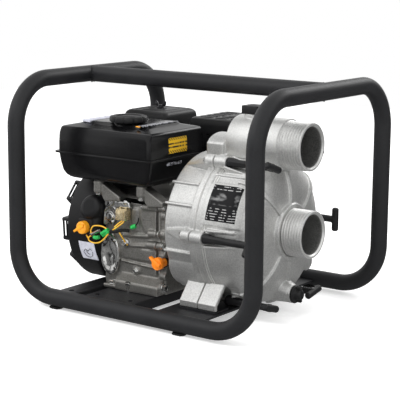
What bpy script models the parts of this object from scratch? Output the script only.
"""Gas engine trash pump: tube roll cage, single-cylinder engine, self-priming pump.

The crankshaft runs along X, the pump ports face +X and the oil-fill side of the engine
faces -Y.  The origin is on the floor under the middle of the cage.  Lengths below are
millimetres, and the helpers turn them into metres.
"""

import math

import bmesh
import bpy
from mathutils import Matrix, Vector

MM = 0.001
GAP = 0.35

# Cage
TUBE_R = 16.0
CAGE_LENGTH = 541.5
CAGE_WIDTH = 431.8
CAGE_HEIGHT = 400.1
BEND_R = 85.0
PAD_THICKNESS = 4.0
RAIL_Z = PAD_THICKNESS + TUBE_R
TOP_Z = RAIL_Z + CAGE_HEIGHT
POST_X = CAGE_LENGTH / 2
RAIL_Y = CAGE_WIDTH / 2
RAIL_END = POST_X - BEND_R - 6.0
PLATE_TOP = RAIL_Z + 3.7
PLATE_THICKNESS = 4.0
PLATE_HALF_Y = RAIL_Y - TUBE_R - 0.4
FOOT_X = (50.0, 131.0)

# Engine
CRANK_Z = 130.0
CASE_X = (-160.0, -25.0)
CASE_Y = (-92.0, 62.0)
CASE_Z = (PLATE_TOP + GAP, 205.0)
CASE_WALL = 6.0
CYL_X = -88.0
CYL_TILT = math.radians(25.0)
SHROUD_X = (-235.0, -161.0)
SHROUD_R = 115.0
RECOIL_X = (-260.0, -235.4)
RECOIL_R = 104.0
ROPE_YZ = (45.0, 204.5)
TANK_X = (-241.0, -17.0)
TANK_Y = (-135.0, 40.0)
TANK_BOTTOM = 230.0
CAP_CENTRE = (-113.0, -75.0)
CLEANER_X = (-235.0, -125.0)
CLEANER_Y = (55.0, 165.0)
MUFFLER_X = (-85.0, 24.0)
MUFFLER_Y = (75.0, 205.0)
CAM_OFFSET = (-20.0, -40.3)

# Pump
CASING_Z = 160.5
JOINT_X = 90.0
FLANGE_R = 140.0
DRUM_R = 137.0
REAR_R = 132.0
CASING_WALL = 7.0
DOME_START = 155.0
DOME_X = 204.0
PORT_R = 43.6
PORT_BORE_R = 37.0
PIPE_R = 47.5
DISCHARGE_Z = 315.7
DISCHARGE_END = 247.0
SUCTION_END = 253.0
BOLT_CIRCLE_R = 147.0
BOLT_ANGLES = (0, 60, 120, 180, 240, 300)
BAR_ANGLES = (90, 35, -20, 60, -17, 11)
LUG_R = 11.0
LUG_REAR_X = 70.0
LUG_FRONT_X = 117.0
HANDLE_X = 212.0
HANDLE_LENGTH = 45.0

COLOURS = {
    "frame_paint": ((0.032, 0.032, 0.034), 0.55, 0.0),
    "black_paint": ((0.012, 0.012, 0.013), 0.3, 0.0),
    "black_plastic": ((0.014, 0.014, 0.015), 0.5, 0.0),
    "rubber": ((0.018, 0.018, 0.018), 0.85, 0.0),
    "cast_alloy": ((0.6, 0.6, 0.58), 0.45, 0.9),
    "case_alloy": ((0.3, 0.29, 0.27), 0.5, 0.9),
    "steel": ((0.5, 0.5, 0.5), 0.35, 1.0),
    "cast_iron": ((0.2, 0.2, 0.2), 0.6, 0.8),
    "brass": ((0.62, 0.47, 0.24), 0.35, 1.0),
    "orange_plastic": ((1.0, 0.28, 0.02), 0.4, 0.0),
    "yellow_wire": ((0.8, 0.45, 0.05), 0.45, 0.0),
    "label": ((0.02, 0.02, 0.02), 0.35, 0.0),
}


def clear_scene():
    for item in list(bpy.data.objects):
        bpy.data.objects.remove(item, do_unlink=True)


def make_collection(name):
    made = bpy.data.collections.new(name)
    bpy.context.scene.collection.children.link(made)
    return made


def make_material(name):
    colour, roughness, metallic = COLOURS[name]
    made = bpy.data.materials.new(name)
    made.use_nodes = True
    shader = made.node_tree.nodes["Principled BSDF"]
    shader.inputs["Base Color"].default_value = (*colour, 1.0)
    shader.inputs["Roughness"].default_value = roughness
    shader.inputs["Metallic"].default_value = metallic
    return made


clear_scene()
PARTS = make_collection("trash_pump")
CUTTERS = make_collection("cutters")
MATERIALS = {name: make_material(name) for name in COLOURS}


def add_object(name, mesh, material, tool=False):
    """Link a mesh; a tool (material None) is a hidden cutter or a piece to be joined."""
    made = bpy.data.objects.new(name, mesh)
    if tool:
        CUTTERS.objects.link(made)
        made.hide_render = True
        made.display_type = "WIRE"
    else:
        PARTS.objects.link(made)
        mesh.materials.append(MATERIALS[material])
    return made


def finish_mesh(bm, name, smooth=True):
    mesh = bpy.data.meshes.new(name)
    bmesh.ops.recalc_face_normals(bm, faces=bm.faces[:])
    bm.to_mesh(mesh)
    bm.free()
    if smooth:
        mesh.shade_smooth()
        mesh.set_sharp_from_angle(angle=math.radians(35))
    return mesh


def box(name, lo, hi, material, bevel=0.0, segments=1, tool=False, turn=None):
    """A box from corner to corner; turn is a matrix that is applied to its mesh."""
    bm = bmesh.new()
    bmesh.ops.create_cube(bm, size=1.0)
    size = [(b - a) * MM for a, b in zip(lo, hi)]
    centre = [(a + b) * 0.5 * MM for a, b in zip(lo, hi)]
    bmesh.ops.scale(bm, vec=size, verts=bm.verts)
    if bevel:
        bmesh.ops.bevel(bm, geom=bm.edges[:], offset=bevel * MM, segments=segments,
                        profile=0.5, affect="EDGES")
    bmesh.ops.translate(bm, vec=centre, verts=bm.verts)
    if turn is not None:
        bmesh.ops.transform(bm, matrix=turn, verts=bm.verts)
    return add_object(name, finish_mesh(bm, name, bool(bevel)), material, tool)


def rod(name, start, end, radius, material, sides=16, end_radius=None, tool=False):
    """A cylinder or cone between two points."""
    start, end = Vector(start) * MM, Vector(end) * MM
    way = end - start
    bm = bmesh.new()
    top = radius if end_radius is None else end_radius
    bmesh.ops.create_cone(bm, cap_ends=True, segments=sides, radius1=radius * MM,
                          radius2=top * MM, depth=way.length)
    turn = Vector((0, 0, 1)).rotation_difference(way).to_matrix().to_4x4()
    bmesh.ops.transform(bm, matrix=Matrix.Translation((start + end) / 2) @ turn, verts=bm.verts)
    return add_object(name, finish_mesh(bm, name), material, tool)


def outer_side_down(profile):
    """The profile in the order that runs down its outer side, which a Screw needs."""
    pairs = zip(profile, profile[1:] + profile[:1])
    area = sum(r0 * z1 - r1 * z0 for (r0, z0), (r1, z1) in pairs)
    return profile[::-1] if area > 0 else profile


def turned(name, profile, centre, material, steps=32, axis="X", tool=False):
    """A profile of (radius, position along the axis) points, turned full circle.

    It is a loop, or a line that starts and ends on the axis.
    """
    profile = outer_side_down(profile)
    bm = bmesh.new()
    verts = [bm.verts.new((radius * MM, 0, along * MM)) for radius, along in profile]
    closed = all(radius > 0.01 for radius, along in profile)
    count = len(verts) if closed else len(verts) - 1
    for index in range(count):
        bm.edges.new((verts[index], verts[(index + 1) % len(verts)]))
    mesh = bpy.data.meshes.new(name)
    bm.to_mesh(mesh)
    bm.free()
    made = add_object(name, mesh, material, tool)
    screw = made.modifiers.new("turn", "SCREW")
    screw.steps = steps
    screw.render_steps = steps
    screw.use_merge_vertices = True
    screw.merge_threshold = 0.00001
    made.location = Vector(centre) * MM
    if axis == "X":
        made.rotation_euler = (0, math.pi / 2, 0)
    if axis == "-Y":
        made.rotation_euler = (math.pi / 2, 0, 0)
    return made


def loft(name, sections, material, tool=False, corner_steps=3):
    """Rounded rectangles stacked along Z; a section is (z, x0, x1, y0, y1, corner)."""
    bm = bmesh.new()
    rings = []
    for z, x0, x1, y0, y1, corner in sections:
        ring = []
        centres = ((x1 - corner, y1 - corner, 0), (x0 + corner, y1 - corner, 90),
                   (x0 + corner, y0 + corner, 180), (x1 - corner, y0 + corner, 270))
        for cx, cy, start in centres:
            for step in range(corner_steps + 1):
                angle = math.radians(start + 90 * step / corner_steps)
                x = cx + corner * math.cos(angle)
                y = cy + corner * math.sin(angle)
                ring.append(bm.verts.new((x * MM, y * MM, z * MM)))
        rings.append(ring)
    for low, high in zip(rings, rings[1:]):
        for index in range(len(low)):
            after = (index + 1) % len(low)
            bm.faces.new((low[index], low[after], high[after], high[index]))
    bm.faces.new(rings[0][::-1])
    bm.faces.new(rings[-1])
    return add_object(name, finish_mesh(bm, name), material, tool)


def outline_plate(name, points, lo, hi, material, plane="XZ", tool=False):
    """A flat outline extruded from lo to hi across its plane (XZ across Y, YZ across X)."""
    bm = bmesh.new()
    if plane == "XZ":
        verts = [bm.verts.new((a * MM, lo * MM, b * MM)) for a, b in points]
        push = (0, (hi - lo) * MM, 0)
    else:
        verts = [bm.verts.new((lo * MM, a * MM, b * MM)) for a, b in points]
        push = ((hi - lo) * MM, 0, 0)
    face = bm.faces.new(verts)
    grown = bmesh.ops.extrude_face_region(bm, geom=[face])
    moved = [item for item in grown["geom"] if isinstance(item, bmesh.types.BMVert)]
    bmesh.ops.translate(bm, vec=push, verts=moved)
    return add_object(name, finish_mesh(bm, name), material, tool)


def tube_path(name, points, radius, material, sides_level=2):
    """A tube along a polyline, as a curve with filled caps."""
    curve = bpy.data.curves.new(name, "CURVE")
    curve.dimensions = "3D"
    curve.bevel_depth = radius * MM
    curve.bevel_resolution = sides_level
    curve.use_fill_caps = True
    curve.render_resolution_u = 0
    spline = curve.splines.new("POLY")
    spline.points.add(len(points) - 1)
    for target, point in zip(spline.points, points):
        target.co = (*[value * MM for value in point], 1.0)
    made = bpy.data.objects.new(name, curve)
    PARTS.objects.link(made)
    curve.materials.append(MATERIALS[material])
    return made


def rounded_route(corners, radius, steps=5):
    """Points of a polyline whose inner corners are arcs of one radius."""
    corners = [Vector(corner) for corner in corners]
    route = [corners[0]]
    for before, corner, after in zip(corners, corners[1:], corners[2:]):
        back = (before - corner).normalized()
        on = (after - corner).normalized()
        half = back.angle(on) / 2
        reach = radius / math.tan(half)
        middle = corner + (back + on).normalized() * (radius / math.sin(half))
        first = (corner + back * reach - middle).normalized()
        last = (corner + on * reach - middle).normalized()
        for step in range(steps + 1):
            route.append(middle + first.slerp(last, step / steps) * radius)
    route.append(corners[-1])
    return route


def smooth_route(points, pieces):
    """A Catmull-Rom curve through the given points."""
    points = [Vector(point) for point in points]
    held = [points[0] * 2 - points[1], *points, points[-1] * 2 - points[-2]]
    route = []
    for index in range(len(points) - 1):
        p0, p1, p2, p3 = held[index:index + 4]
        for step in range(pieces):
            t = step / pieces
            route.append(0.5 * (2 * p1 + (p2 - p0) * t + (2 * p0 - 5 * p1 + 4 * p2 - p3) * t * t
                                + (3 * p1 - p0 - 3 * p2 + p3) * t ** 3))
    route.append(points[-1])
    return route


def boolean(target, tools, operation):
    for tool in tools:
        modifier = target.modifiers.new(tool.name, "BOOLEAN")
        modifier.operation = operation
        modifier.object = tool


def cut(target, *tools):
    boolean(target, tools, "DIFFERENCE")


def join(target, *tools):
    boolean(target, tools, "UNION")


def on_circle(angle, radius, centre_z):
    turn = math.radians(angle)
    return radius * math.cos(turn), centre_z + radius * math.sin(turn)


# ---------------------------------------------------------------- cage

def make_hoop(name, side):
    """One end of the cage: two posts, a crossbar and the four bends, in one bent tube."""
    foot_x = side * RAIL_END
    corners = [(foot_x, -RAIL_Y, RAIL_Z), (side * POST_X, -RAIL_Y, RAIL_Z),
               (side * POST_X, -RAIL_Y, TOP_Z), (side * POST_X, RAIL_Y, TOP_Z),
               (side * POST_X, RAIL_Y, RAIL_Z), (foot_x, RAIL_Y, RAIL_Z)]
    tube_path(name, rounded_route(corners, BEND_R), TUBE_R, "frame_paint", 3)


def channel(name, x0, x1):
    """A flat crossmember whose long edges are folded down."""
    under = PLATE_TOP - PLATE_THICKNESS
    plate = box(name, (x0, -PLATE_HALF_Y, under), (x1, PLATE_HALF_Y, PLATE_TOP), "frame_paint")
    walls = [box(f"{name}_wall_{index}", (x, -PLATE_HALF_Y, 4), (x + 3, PLATE_HALF_Y, under + 1),
                 None, tool=True) for index, x in enumerate((x0, x1 - 3))]
    join(plate, *walls)


def make_cage():
    make_hoop("frame_front_hoop", 1)
    make_hoop("frame_rear_hoop", -1)
    rail_end = RAIL_END - GAP
    for name, side in (("frame_rail_near", -1), ("frame_rail_far", 1)):
        y = side * RAIL_Y
        rod(name, (-rail_end, y, RAIL_Z), (rail_end, y, RAIL_Z), TUBE_R, "frame_paint")
    bar_end = POST_X - TUBE_R - GAP
    rod("frame_top_bar", (-bar_end, 0, TOP_Z), (bar_end, 0, TOP_Z), TUBE_R, "frame_paint")
    for end, x in (("rear", -174), ("front", 115)):
        for name, side in (("near", -1), ("far", 1)):
            y = side * RAIL_Y
            box(f"pad_{name}_{end}", (x - 12, y - 9, 0), (x + 12, y + 9, PAD_THICKNESS - GAP),
                "rubber")
    for name, x0, x1 in (("rear_crossmember", -200, -156), ("engine_plate", -136, -20)):
        channel(name, x0, x1)
    low = PLATE_TOP - 2 * PLATE_THICKNESS
    beam = box("pump_crossmember", (30, -PLATE_HALF_Y, low),
               (135, PLATE_HALF_Y, low + PLATE_THICKNESS), "frame_paint")
    pads = [box(f"foot_pad_{side}", (FOOT_X[0], side * 111 - 22, low + 1),
                (FOOT_X[1], side * 111 + 22, PLATE_TOP), None, tool=True) for side in (-1, 1)]
    join(beam, *pads)


# ---------------------------------------------------------------- engine

def cylinder_frame(distance, across=0.0, x=CYL_X):
    """A point at a distance from the crank axis along the slanted cylinder."""
    y = distance * math.cos(CYL_TILT) - across * math.sin(CYL_TILT)
    z = CRANK_Z + distance * math.sin(CYL_TILT) + across * math.cos(CYL_TILT)
    return x, y, z


def slanted_box(name, near, far, half_x, half_across, material, bevel=0.0, tool=False):
    """A box that lies along the cylinder axis between two distances from the crank."""
    turn = (Matrix.Translation((CYL_X * MM, 0, CRANK_Z * MM))
            @ Matrix.Rotation(CYL_TILT, 4, "X"))
    return box(name, (-half_x, near, -half_across), (half_x, far, half_across), material,
               bevel, 1, tool, turn)


def make_crankcase():
    x0, x1 = CASE_X
    y0, y1 = CASE_Y
    z0, z1 = CASE_Z
    case = box("crankcase", (x0, y0, z0), (x1, y1, z1), "case_alloy", 6)
    hollow = box("case_hollow", (x0 + CASE_WALL, y0 + CASE_WALL, z0 + CASE_WALL),
                 (x1 + 5, y1 - CASE_WALL, z1 - CASE_WALL), None, tool=True)
    crank_hole = rod("case_crank_hole", (x0 - 5, 0, CRANK_Z), (x0 + 15, 0, CRANK_Z), 14, None,
                     tool=True)
    bore = rod("case_bore", cylinder_frame(40), cylinder_frame(95), 36, None, 20, tool=True)
    posts = []
    for index, (x, arm_x, z) in enumerate(((-162, -151, 198), (-60, -60, 192))):
        posts.append(rod(f"tank_post_{index}", (x, -103, z), (x, -103, TANK_BOTTOM - GAP), 9,
                         None, 10, tool=True))
        posts.append(box(f"post_arm_{index}", (arm_x - 8, -103, z - 6), (arm_x + 8, -85, z + 5),
                         None, tool=True))
    cut(case, hollow, crank_hole, bore)
    drain = rod("sump_plug", (-90, y0 + 3, 34), (-90, y0 - 10, 34), 8, None, 6, tool=True)
    cover_disc = rod("side_disc", (-137, y0 + 3, 88), (-137, y0 - 7, 88), 20, None, 20, tool=True)
    bracket = box("unit_bracket", (-157, y0 - 7, 136), (-122, y0 + 3, 196), None, tool=True)
    lever_plate = box("lever_plate", (-116, 48, 198), (-112, 60, 244), None, tool=True)
    join(case, drain, cover_disc, bracket, lever_plate, *posts)
    cover = box("crankcase_cover", (x1 + GAP, y0, z0), (x1 + 17, y1, z1), "case_alloy", 5)
    cover_hole = rod("cover_crank_hole", (x1 - 5, 0, CRANK_Z), (x1 + 30, 0, CRANK_Z), 14, None,
                     tool=True)
    cut(cover, cover_hole)


def make_cylinder():
    """Finned barrel, head and rocker cover along the slanted bore, and the piston."""
    barrel = slanted_box("cylinder_barrel", 91, 150, 50, 42, "cast_alloy")
    bore = rod("barrel_bore", cylinder_frame(80), cylinder_frame(149), 34, None, 20, tool=True)
    cut(barrel, bore)
    fin_gaps = []
    for index in range(4):
        start = 99 + index * 12
        gap = slanted_box(f"fin_gap_{index}", start, start + 7, 60, 60, None, tool=True)
        core = slanted_box(f"fin_core_{index}", start - 1, start + 8, 41, 36, None, tool=True)
        cut(gap, core)
        fin_gaps.append(gap)
    cut(barrel, *fin_gaps)
    slanted_box("cylinder_head", 150.4, 184, 48, 40, "cast_alloy", 4)
    slanted_box("rocker_cover", 184.4, 214, 40, 33, "cast_alloy", 6)
    rod("piston", cylinder_frame(100), cylinder_frame(140), 33.6, "cast_alloy", 20)


def make_crankshaft():
    """Shaft from the flywheel nut to the impeller, with its throw, balance web and gear."""
    shaft_profile = [(0, 134), (10, 134), (10, 97), (12.5, 95), (12.5, -50), (15, -50.5),
                     (15, -58), (12.5, -58.5), (12.5, -228), (0, -228)]
    shaft = turned("crankshaft", shaft_profile, (0, 0, CRANK_Z), "steel", 20)
    throw_gap = box("throw_gap", (-100, -20, CRANK_Z - 20), (-76, 20, CRANK_Z + 20), None,
                    tool=True)
    cut(shaft, throw_gap)
    webs = []
    for index, x in enumerate((-108, -76.5)):
        webs.append(box(f"web_{index}", (x, -16, CRANK_Z - 34), (x + 8.5, 16, CRANK_Z + 34),
                        None, 3, tool=True))
    pin = rod("crank_pin", (-103, 0, CRANK_Z + 24), (-73, 0, CRANK_Z + 24), 9, None, 12,
              tool=True)
    join(shaft, *webs, pin)


def make_camshaft():
    dy, dz = CAM_OFFSET
    profile = [(0, -32), (5, -32), (5, -50), (29.5, -50.5), (29.5, -58), (5, -58.5),
               (5, -120), (8, -120.5), (8, -128), (5, -128.5), (5, -150), (0, -150)]
    turned("camshaft", profile, (0, dy, CRANK_Z + dz), "steel", 20)


def make_fan_side():
    """Flywheel with its fan, the shroud round it and the recoil starter outside."""
    wheel = [(13, -172), (84, -172), (84, -196), (60, -200), (60, -222), (13, -222)]
    turned("flywheel", wheel, (0, 0, CRANK_Z), "cast_iron", 32)
    front, back = SHROUD_X
    wall = 3
    shroud = [(SHROUD_R, back), (SHROUD_R, front + 14), (SHROUD_R - 5, front + 4),
              (SHROUD_R - 14, front), (90, front), (90, front + wall),
              (SHROUD_R - 15, front + wall), (SHROUD_R - wall, front + 15),
              (SHROUD_R - wall, back)]
    drum = turned("fan_shroud", shroud, (0, 0, CRANK_Z), "black_paint", 32)
    duct = box("shroud_duct", (front + 16, 70, 118), (back, 135, 215), None, 8, 1, tool=True)
    duct_hollow = box("duct_hollow", (front + 20, 60, 122), (back + 9, 131, 211), None, 6, 1,
                      tool=True)
    bulge = rod("shroud_bulge", (-182, -90, 168), (-182, -116, 177), 24, None, 16, tool=True)
    inner = rod("shroud_inner", (front + 16, 0, CRANK_Z), (back + 5, 0, CRANK_Z),
                SHROUD_R - wall - 0.2, None, 32, tool=True)
    floor = box("shroud_floor", (front + 4, -48, PLATE_TOP - 5), (back, 48, PLATE_TOP + 4), None,
                tool=True)
    below = box("shroud_below", (front - 5, -90, 0), (back + 5, 90, PLATE_TOP + GAP), None,
                tool=True)
    join(drum, duct, bulge)
    cut(drum, duct_hollow, inner)
    join(drum, floor)
    cut(drum, below)
    outer, inside = RECOIL_X
    cover = [(0, outer + 3), (RECOIL_R - 15, outer + 3), (RECOIL_R - 3, outer + 13),
             (RECOIL_R - 3, inside), (RECOIL_R, inside), (RECOIL_R, outer + 12),
             (RECOIL_R - 4, outer + 4), (RECOIL_R - 14, outer), (0, outer)]
    turned("recoil_cover", cover, (0, 0, CRANK_Z), "black_plastic", 32)


def make_starter():
    """Pull grip on the recoil cover's face; its rope lies straight inside the shroud."""
    y, z = ROPE_YZ
    grip = box("starter_grip", (-284, y - 45, z - 10), (-264, y + 45, z + 10), "rubber", 5, 2)
    neck = rod("grip_neck", (-266, y, z), (-261, y, z), 7, None, 10, tool=True)
    join(grip, neck)
    rod("starter_rope", (-260.6, y, z), (-178, y, z), 2.2, "rubber", 8)
    hole = rod("rope_hole", (-270, y, z), (-240, y, z), 3.2, None, 10, tool=True)
    cut(bpy.data.objects["recoil_cover"], hole)


def make_tank():
    x0, x1 = TANK_X
    y0, y1 = TANK_Y
    levels = ((230, 16, 14), (242, 4, 13), (280, 0, 12), (318, 2, 12), (330, 8, 14),
              (337, 32, 16), (341, 62, 12))
    tank = loft("fuel_tank", [(z, x0 + i, x1 - i, y0 + i, y1 - i, c) for z, i, c in levels],
                "black_paint")
    seam = loft("tank_seam", [(z, x0 - 6, x1 + 5, y0 - 6, y1 + 5, 13) for z in (280, 284)],
                None, tool=True)
    inner = ((234, 20, 14), (244, 8, 13), (316, 6, 12), (327, 14, 14), (334, 40, 16))
    hollow = loft("tank_hollow", [(z, x0 + i, x1 - i, y0 + i, y1 - i, c) for z, i, c in inner],
                  None, tool=True)
    cx, cy = CAP_CENTRE
    neck = rod("tank_neck", (cx, cy, 330), (cx, cy, 345), 23, None, 20, tool=True)
    mouth = rod("tank_mouth", (cx, cy, 320), (cx, cy, 350), 18, None, 20, tool=True)
    arch = rod("tank_arch", (x0 - 9, 0, CRANK_Z), (-157, 0, CRANK_Z), SHROUD_R + 1.5, None, 32,
               tool=True)
    arch_wall = rod("tank_arch_wall", (x0 - 9, 0, CRANK_Z), (-153, 0, CRANK_Z), SHROUD_R + 5.5,
                    None, 32, tool=True)
    cut(hollow, arch_wall)
    join(tank, seam, neck)
    cut(tank, hollow, mouth, arch)
    cap = [(0, 355), (33, 355), (36, 352), (36, 343), (26, 343), (26, 348), (0, 348)]
    turned("fuel_cap", [(r, z - 348) for r, z in cap], (cx, cy, 348), "black_plastic", 24, "Z")


def make_air_cleaner():
    x0, x1 = CLEANER_X
    y0, y1 = CLEANER_Y
    base = ((262, 14, 8), (270, 6, 9), (300, 6, 9))
    loft("air_cleaner_base", [(z, x0 + i, x1 - i, y0 + i, y1 - i, c) for z, i, c in base],
         "black_plastic")
    lid = ((300 + GAP, 0, 9), (330, 0, 9), (342, 4, 10), (347, 14, 12))
    loft("air_cleaner_cover", [(z, x0 + i, x1 - i, y0 + i, y1 - i, c) for z, i, c in lid],
         "black_plastic")
    mid_x, mid_y = (x0 + x1) / 2, (y0 + y1) / 2
    nut = rod("wing_nut", (mid_x, mid_y, 347 + GAP), (mid_x, mid_y, 354), 6, "steel", 10)
    wings = box("nut_wings", (mid_x - 13, mid_y - 1.5, 350), (mid_x + 13, mid_y + 1.5, 362),
                None, tool=True)
    join(nut, wings)
    carb = box("carburettor", (-180, 92, 222), (-140, 140, 262 - GAP), "cast_alloy", 5)
    bowl = rod("carb_bowl", (-160, 118, 217), (-160, 118, 226), 15, None, 16, tool=True)
    join(carb, bowl)


def make_exhaust():
    x0, x1 = MUFFLER_X
    y0, y1 = MUFFLER_Y
    body = loft("muffler", [(270, x0 + 8, x1 - 8, y0 + 8, y1 - 8, 14),
                            (334, x0 + 8, x1 - 8, y0 + 8, y1 - 8, 14)], "cast_iron")
    pipe = rod("exhaust_pipe", (-62, 134, 243), (-62, 134, 280), 11, None, 12, tool=True)
    join(body, pipe)
    shield = loft("heat_shield", [(266, x0, x1, y0, y1, 10), (342, x0, x1, y0, y1, 10)],
                  "black_paint")
    room = loft("shield_room", [(250, x0 + 2, x1 - 2, y0 + 2, y1 - 2, 9),
                                (340, x0 + 2, x1 - 2, y0 + 2, y1 - 2, 9)], None, tool=True)
    cut(shield, room)


def make_controls():
    """Switch, levers, oil dipstick and the oil-level unit."""
    switch_x, switch_y, switch_z = -189.0, -118.0, 137.0
    knob = turned("ignition_switch", [(0, 13), (10, 13), (12.5, 10), (12.5, 0), (0, 0)],
                  (switch_x, switch_y + 2, switch_z), "orange_plastic", 20, "-Y")
    tab = box("switch_tab", (switch_x - 2.5, switch_y - 14, switch_z - 11),
              (switch_x + 2.5, switch_y - 9, switch_z + 11), None, 1, tool=True)
    join(knob, tab)
    stick_x, stick_z = -16, 88
    stick = rod("oil_dipstick", (stick_x, -103, stick_z), (stick_x, -114, stick_z), 12,
                "orange_plastic", 20)
    handle = box("dipstick_tab", (stick_x - 10, -118, stick_z - 2),
                 (stick_x + 10, -109, stick_z + 3), None, 1.5, tool=True)
    plug = rod("dipstick_plug", (stick_x, CASE_Y[0] - GAP, stick_z), (stick_x, -105, stick_z), 9,
               None, 12, tool=True)
    join(stick, handle, plug)
    box("oil_level_unit", (-118, -112, 157), (-90, CASE_Y[0] - GAP, 182), "brass", 1.5)
    throttle = box("throttle_lever", (-121, 51, 232), (-117, 57, 262), "steel")
    pivot = rod("throttle_pivot", (-123, 54, 236), (-116 - GAP, 54, 236), 4, None, 10, tool=True)
    join(throttle, pivot)
    choke = box("choke_lever", (-189, 98, 226), (-184, 104, 252), "black_plastic")
    choke_pin = rod("choke_pin", (-188, 101, 230), (-180.4, 101, 230), 4, None, 10, tool=True)
    join(choke, choke_pin)
    fuel = box("fuel_valve_lever", (-178, 141, 226), (-172, 145, 250), "black_plastic")
    fuel_pin = rod("fuel_pin", (-175, 140.4, 230), (-175, 147, 230), 4, None, 10, tool=True)
    join(fuel, fuel_pin)


def wire_points():
    """The yellow lead from the switch, in two loose loops, to the oil-level unit."""
    return smooth_route([(-183, -117.5, 121), (-176, -124, 115), (-162, -127, 112),
                         (-148, -126, 118), (-150, -124, 132), (-164, -123, 136),
                         (-170, -124, 127), (-158, -123, 120), (-140, -121, 128),
                         (-124, -117, 142), (-113, -109, 150), (-110, -104, 155.6)], 3)


def make_wires():
    tube_path("switch_lead", wire_points(), 1.4, "yellow_wire", 2)
    plug = Vector(cylinder_frame(167, 0, CYL_X + 48 + GAP))
    cap_end = plug + Vector((24, 0, 0))
    rod("spark_cap", plug, cap_end, 8, "rubber", 12)
    lead = smooth_route([cap_end + Vector((2.5, 0, 0)), cap_end + Vector((12, 6, 1)),
                         (-26, 205, 222), (-85, 221, 238), (-140, 208, 236), (-178, 172, 218),
                         (-190, 140, 192)], 4)
    tube_path("spark_lead", lead, 3.5, "rubber", 2)


# ---------------------------------------------------------------- pump

def lug_set(prefix, x0, x1, hole_x0, hole_x1):
    lugs = []
    holes = []
    for index, angle in enumerate(BOLT_ANGLES):
        y, z = on_circle(angle, BOLT_CIRCLE_R, CASING_Z)
        lugs.append(rod(f"{prefix}_lug_{index}", (x0, y, z), (x1, y, z), LUG_R, None, 12,
                        tool=True))
        holes.append(rod(f"{prefix}_hole_{index}", (hole_x0, y, z), (hole_x1, y, z), 4.6, None,
                         8, tool=True))
    return lugs, holes


def foot_halves(prefix, x0, x1):
    """The hollow sloping feet on both sides, cast in one with each casing half."""
    base = PLATE_TOP + GAP
    outline = ((130, base), (130, 35), (101, 71), (92, 71), (52, 42), (52, base))
    inside = ((124, 0), (124, 33), (98, 65), (95, 65), (58, 38), (58, 0))
    halves = []
    for side in (-1, 1):
        solid = outline_plate(f"{prefix}_foot_{side}", [(side * y, z) for y, z in outline], x0,
                              x1, None, "YZ", tool=True)
        room = outline_plate(f"{prefix}_foot_room_{side}", [(side * y, z) for y, z in inside],
                             x0 + 5, x1 + 5, None, "YZ", tool=True)
        cut(solid, room)
        halves.append(solid)
    return halves


def make_rear_casing():
    """Rear bowl with the delivery neck on top and the adaptor that bolts to the engine."""
    joint = JOINT_X - 0.7
    inner = REAR_R - CASING_WALL
    bowl = [(inner + 3, joint), (FLANGE_R, joint), (FLANGE_R, joint - 12),
            (REAR_R + 2, joint - 14), (REAR_R, 26), (REAR_R - 8, 16), (20, 16), (20, 24),
            (inner - 6, 24), (inner, 32), (inner + 3, joint - 20)]
    rear = turned("rear_casing", bowl, (0, 0, CASING_Z), "cast_alloy", 40)
    adaptor = rod("rear_adaptor", (-7, 0, CRANK_Z), (20, 0, CRANK_Z), 60, None, 24, tool=True)
    recess = rod("adaptor_recess", (-12, 0, CRANK_Z), (12, 0, CRANK_Z), 50, None, 24, tool=True)
    wall_fill = rod("rear_wall_fill", (16.5, 0, CASING_Z), (23.5, 0, CASING_Z), 30, None, 20,
                    tool=True)
    shaft_hole = rod("rear_shaft_hole", (0, 0, CRANK_Z), (40, 0, CRANK_Z), 20.6, None, 20,
                     tool=True)
    crown = [on_circle(126 - 12 * step, 66.0, 264.0) for step in range(7)]
    neck = outline_plate("delivery_neck", [(42, 250), (-42, 250), (-42, 314), *crown, (42, 314)],
                         44, joint, None, "YZ", tool=True)
    room = [(36, 235), (-36, 235), (-36, 308), *[(y * 0.85, z - 6) for y, z in crown], (36, 308)]
    neck_room = outline_plate("neck_room", room, 50, joint + 5, None, "YZ", tool=True)
    lugs, holes = lug_set("rear", LUG_REAR_X, joint - 0.05, LUG_REAR_X - 5, joint + 5)
    join(rear, adaptor, wall_fill, neck, *lugs, *foot_halves("rear", FOOT_X[0], joint))
    bowl_room = rod("rear_room", (24, 0, CASING_Z), (joint + 5, 0, CASING_Z), inner - 1, None,
                    40, tool=True)
    cut(rear, recess, shaft_hole, neck_room, bowl_room, *holes)
    seal = [(19.8, 17), (19.8, 32), (13, 32), (13, 17)]
    turned("mechanical_seal", seal, (0, 0, CRANK_Z), "steel", 20)


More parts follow.
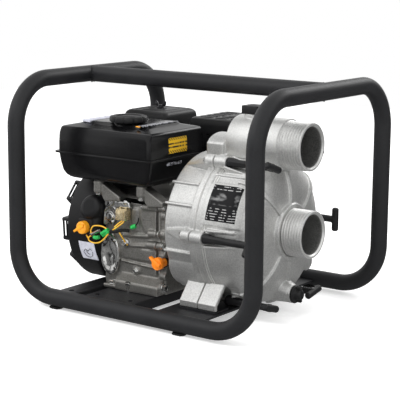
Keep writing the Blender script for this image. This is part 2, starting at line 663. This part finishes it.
def make_front_casing():
    """Front bowl with its domed face; the two threaded ports are turned separately."""
    joint = JOINT_X + 0.7
    inner = DRUM_R - CASING_WALL
    dome = [(60 + 77 * math.cos(math.radians(15 * step)),
             DOME_START + (DOME_X - DOME_START) * math.sin(math.radians(15 * step)))
            for step in range(6)]
    inside = [(inner, joint), (inner, 150), (123, 164), (108, 180), (88, 191), (62, 197)]
    bowl = [*inside, (PORT_R + 1, 197), (PORT_R + 1, 212), (52, 212), (54, DOME_X), *dome[::-1],
            (DRUM_R, joint + 13), (FLANGE_R, joint + 12), (FLANGE_R, joint)]
    front = turned("front_casing", bowl, (0, 0, CASING_Z), "cast_alloy", 40)
    lugs, holes = lug_set("front", joint + 0.05, LUG_FRONT_X, joint - 5, LUG_FRONT_X + 5)
    boss = rod("drain_boss", (150, 0, 57.5), (209, 0, 46), 33, None, 20, 18, tool=True)
    collar = rod("drain_collar", (195, 0, 45), (215, 0, 45), 17, None, 20, tool=True)
    ears = []
    for index, (angle, radius) in enumerate(((30, 127), (325, 146))):
        y, z = on_circle(angle, radius, CASING_Z)
        ears.append(rod(f"ear_{index}", (132, y, z), (172, y, z), 17, None, 16, tool=True))
    join(front, boss, collar, *ears, *lugs, *foot_halves("front", joint, FOOT_X[1]))
    pipe_room = rod("pipe_room", (joint - 5, 0, DISCHARGE_Z), (DOME_X + 20, 0, DISCHARGE_Z),
                    PIPE_R + GAP, None, 32, tool=True)
    drain_hole = rod("drain_hole", (150, 0, 45), (220, 0, 45), 10, None, 12, tool=True)
    room = [(0, joint - 5), (inner, joint - 5), *inside[1:], (0, 197)]
    bowl_room = turned("front_room", room, (0, 0, CASING_Z), None, 40, tool=True)
    cut(front, pipe_room, drain_hole, bowl_room, *holes)
    gasket = turned("casing_gasket", [(129, JOINT_X - 0.4), (129, JOINT_X + 0.4),
                                      (139, JOINT_X + 0.4), (139, JOINT_X - 0.4)],
                    (0, 0, CASING_Z), "rubber", 40)
    notch = box("gasket_notch", (JOINT_X - 5, -50, 262), (JOINT_X + 5, 50, 320), None, tool=True)
    cut(gasket, notch)


def port_profile(start, end, root_r):
    """A threaded pipe end: a plain shoulder, then a slight taper to the mouth."""
    return [(PORT_BORE_R, start), (PORT_BORE_R, end - 3), (PORT_BORE_R + 2, end),
            (PORT_R, end), (PORT_R + 0.5, end - 46), (root_r, end - 48), (root_r, start)]


def make_ports():
    turned("suction_port", port_profile(198, SUCTION_END, PORT_R + 0.5), (0, 0, CASING_Z),
           "cast_alloy", 32)
    start = JOINT_X + 0.7
    wall = start + 6
    profile = [(0, wall), *port_profile(wall, DISCHARGE_END, PIPE_R)[:-1], (PIPE_R, start),
               (0, start)]
    pipe = turned("discharge_pipe", profile, (0, 0, DISCHARGE_Z), "cast_alloy", 32)
    window = box("delivery_window", (start - 2, -26, 291), (wall + 2, 26, 319), None, tool=True)
    boss = rod("fill_boss", (122, 0, 352), (122, 0, 370), 19, None, 20, tool=True)
    room = rod("fill_room", (122, 0, 340), (122, 0, 375), 13, None, 16, tool=True)
    join(pipe, boss)
    cut(pipe, room, window)
    plug = box("fill_plug", (104, -18, 370 + GAP), (140, 18, 386), "black_plastic", 2)
    shank = rod("fill_shank", (122, 0, 358), (122, 0, 372), 12.5, None, 16, tool=True)
    join(plug, shank)
    drain = turned("drain_plug", [(0, 232), (8, 232), (11, 222), (17, 220), (17, 215 + GAP),
                                  (9.5, 215 + GAP), (9.5, 200), (0, 200)], (0, 0, 45),
                   "black_plastic", 20)
    grip = box("drain_grip", (218, -3, 31), (232, 3, 59), None, 1, tool=True)
    join(drain, grip)


def make_pump_inside():
    """Volute insert, impeller and the flap valve behind the suction port."""
    ring = [(62, 100), (62, 140), (36, 140), (36, 145), (84, 145), (84, 100)]
    turned("volute", ring, (0, 0, CRANK_Z), "cast_iron", 28)
    disc = [(10.4, 102), (10.4, 130), (16, 130), (20, 108), (58, 108), (58, 102)]
    wheel = turned("impeller", disc, (0, 0, CRANK_Z), "cast_iron", 24)
    vanes = []
    for index in range(3):
        turn = (Matrix.Translation((0, 0, CRANK_Z * MM))
                @ Matrix.Rotation(math.radians(120 * index), 4, "X"))
        vanes.append(box(f"vane_{index}", (106, 4, 12), (134, 10, 54), None, tool=True,
                         turn=turn))
    join(wheel, *vanes)
    flap = rod("flap_valve", (193.5, 0, CASING_Z), (196.5, 0, CASING_Z), 41, "rubber", 20)
    tab = box("flap_tab", (193.5, -12, CASING_Z + 36), (196.5, 12, CASING_Z + 48), None,
              tool=True)
    join(flap, tab)


def make_t_bolt(index, angle, bar_angle):
    """A hand bolt: steel shank, moulded stem and cross handle."""
    y, z = on_circle(angle, BOLT_CIRCLE_R, CASING_Z)
    base = LUG_FRONT_X + GAP
    profile = [(0, 76), (4, 76), (4, base), (10, base), (10, base + 5), (6, base + 14),
               (6, HANDLE_X), (0, HANDLE_X)]
    bolt = turned(f"t_bolt_{index + 1}", profile, (0, y, z), "black_plastic", 12)
    turn = math.radians(bar_angle)
    reach = HANDLE_LENGTH / 2
    dy, dz = reach * math.cos(turn), reach * math.sin(turn)
    bar = rod(f"t_bar_{index + 1}", (HANDLE_X, y - dy, z - dz), (HANDLE_X, y + dy, z + dz), 6.5,
              None, 12, tool=True)
    join(bolt, bar)


def make_spec_label():
    """A thin plate bent round the near side of the front bowl."""
    bm = bmesh.new()
    bmesh.ops.create_grid(bm, x_segments=1, y_segments=8, size=0.5)
    low, high = math.radians(134), math.radians(168)
    for vert in bm.verts:
        angle = low + (high - low) * (vert.co.y + 0.5)
        x = 112 + 66 * (vert.co.x + 0.5)
        y, z = on_circle(math.degrees(angle), DRUM_R + 0.7, CASING_Z)
        vert.co = (x * MM, y * MM, z * MM)
    mesh = finish_mesh(bm, "spec_label")
    plate = add_object("spec_label", mesh, "label")
    thick = plate.modifiers.new("thickness", "SOLIDIFY")
    thick.thickness = 0.4 * MM
    thick.offset = 0


make_cage()
make_crankcase()
make_cylinder()
make_crankshaft()
make_camshaft()
make_fan_side()
make_starter()
make_tank()
make_air_cleaner()
make_exhaust()
make_controls()
make_wires()
make_rear_casing()
make_front_casing()
make_ports()
make_pump_inside()
for bolt_index, (bolt_angle, handle_angle) in enumerate(zip(BOLT_ANGLES, BAR_ANGLES)):
    make_t_bolt(bolt_index, bolt_angle, handle_angle)
make_spec_label()
